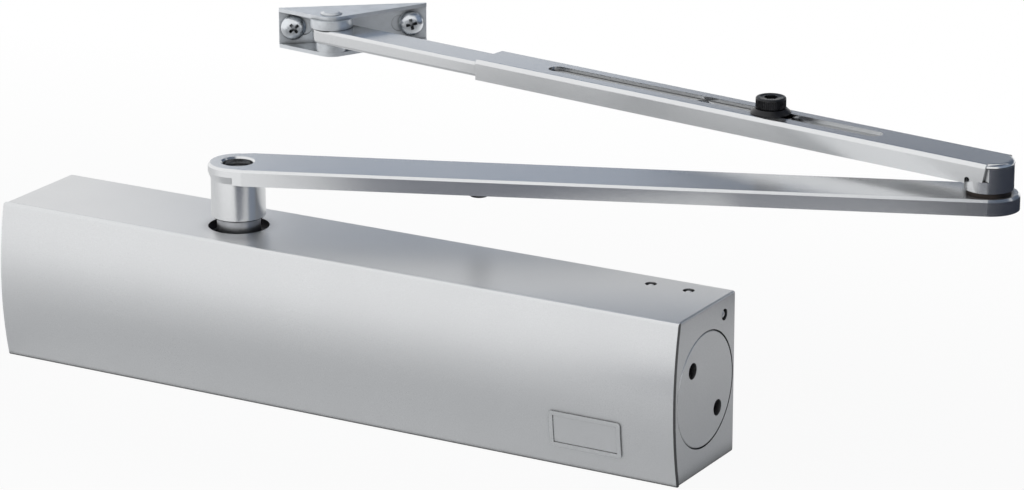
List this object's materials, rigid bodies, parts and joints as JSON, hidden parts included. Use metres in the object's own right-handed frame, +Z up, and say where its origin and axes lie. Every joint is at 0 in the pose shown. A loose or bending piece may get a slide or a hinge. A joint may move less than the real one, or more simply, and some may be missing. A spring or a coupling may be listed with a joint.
{
  "type": "overhead door closer",
  "caption": "Overhead door closer: rack and pinion spring body with a folding two-part arm that slides to length and a frame bracket.",
  "frame": {"origin": "middle of the four fixing holes, on the back face of the body", "axes": "+X along the body towards the end with the oil drillings, +Y into the door that the back face lies on, +Z up, out of the body's spindle side"},
  "size_m": [0.3597, 0.2152, 0.1039],
  "materials": {
    "body_paint": "fine silver lacquer on die-cast aluminium",
    "cover_paint": "silver lacquer on aluminium sheet",
    "badge_metal": "plain satin badge",
    "arm_paint": "silver lacquer on steel",
    "bright_zinc": "bright zinc plate",
    "bearing_steel": "ground steel",
    "spring_steel": "oiled spring steel",
    "black_steel": "black oxide",
    "bronze": "sintered bronze",
    "valve_brass": "turned brass",
    "black_rubber": "moulded rubber"
  },
  "bodies": {
    "base": {"housing": "body_paint", "front_cover": "cover_paint", "badge": "badge_metal", "right_end_plug": "body_paint", "left_end_plug": "body_paint", "right_plug_seal": "black_rubber", "left_plug_seal": "black_rubber", "channel_balls": "bearing_steel", "upper_bearing": "bearing_steel", "lower_bearing": "bearing_steel", "upper_needles": "bearing_steel", "lower_needles": "bearing_steel", "shaft_seal": "black_rubber", "retaining_ring": "spring_steel", "bearing_cap": "bright_zinc", "cap_seal": "black_rubber", "main_spring": "spring_steel", "spring_seat": "bright_zinc"},
    "spindle": {"pinion_shaft": "bearing_steel", "main_arm": "arm_paint", "arm_screw": "black_steel", "arm_washer": "bright_zinc", "arm_buffer": "black_rubber", "knuckle_bush": "bronze"},
    "piston": {"piston": "bearing_steel", "check_ball": "bearing_steel", "check_ring": "bearing_steel", "piston_seal": "black_rubber"},
    "forearm": {"knuckle_post": "arm_paint", "post_washer": "bright_zinc", "forearm_channel": "arm_paint"},
    "rod": {"forearm_rod": "arm_paint", "clamp_washer": "black_steel"},
    "clamp_screw": {"clamp_screw": "black_steel"},
    "bracket": {"frame_bracket": "bright_zinc", "bracket_pin": "bright_zinc", "upper_bush": "bright_zinc", "lower_bush": "bright_zinc", "bracket_screws": "bright_zinc"},
    "speed_valve": {"speed_valve": "valve_brass", "speed_valve_seal": "black_rubber"},
    "latch_valve": {"latch_valve": "valve_brass", "latch_valve_seal": "black_rubber"}
  },
  "joints": [
    {"name": "spindle_turn", "type": "hinge", "parent": "base", "child": "spindle", "pos_m": [-0.0512, -0.0228, 0], "axis": [0, 0, 1], "range_deg": [-180, 0], "stiffness_Nm_per_rad": 9, "springref_deg": 57.3},
    {"name": "piston_slide", "type": "slide", "parent": "base", "child": "piston", "axis": [1, 0, 0], "range_m": [0, 0.0354], "deforming": ["main_spring"]},
    {"name": "knuckle_turn", "type": "hinge", "parent": "spindle", "child": "forearm", "pos_m": [0.20469, 0.07955, 0], "axis": [0, 0, 1], "range_deg": [-300, 15]},
    {"name": "forearm_slide", "type": "slide", "parent": "forearm", "child": "rod", "axis": [-0.9894, 0.1452, 0], "range_m": [-0.04, 0.095]},
    {"name": "clamp_screw_turn", "type": "hinge", "parent": "rod", "child": "clamp_screw", "pos_m": [0.11001, 0.09345, 0.0675], "axis": [0, 0, 1], "range_deg": [0, 360]},
    {"name": "bracket_turn", "type": "hinge", "parent": "rod", "child": "bracket", "pos_m": [-0.10281, 0.12468, 0.066], "axis": [0, 0, 1], "range_deg": [-43, 127]},
    {"name": "speed_valve_turn", "type": "hinge", "parent": "base", "child": "speed_valve", "pos_m": [0.1204, -0.0395, 0.0236], "axis": [0, -1, 0], "range_deg": [-180, 180]},
    {"name": "latch_valve_turn", "type": "hinge", "parent": "base", "child": "latch_valve", "pos_m": [0.1061, -0.0395, 0.0236], "axis": [0, -1, 0], "range_deg": [-180, 180]}
  ],
  "couplings": [
    {"joint": "piston_slide", "follows": "spindle_turn", "m_per_rad": -0.01125}
  ]
}
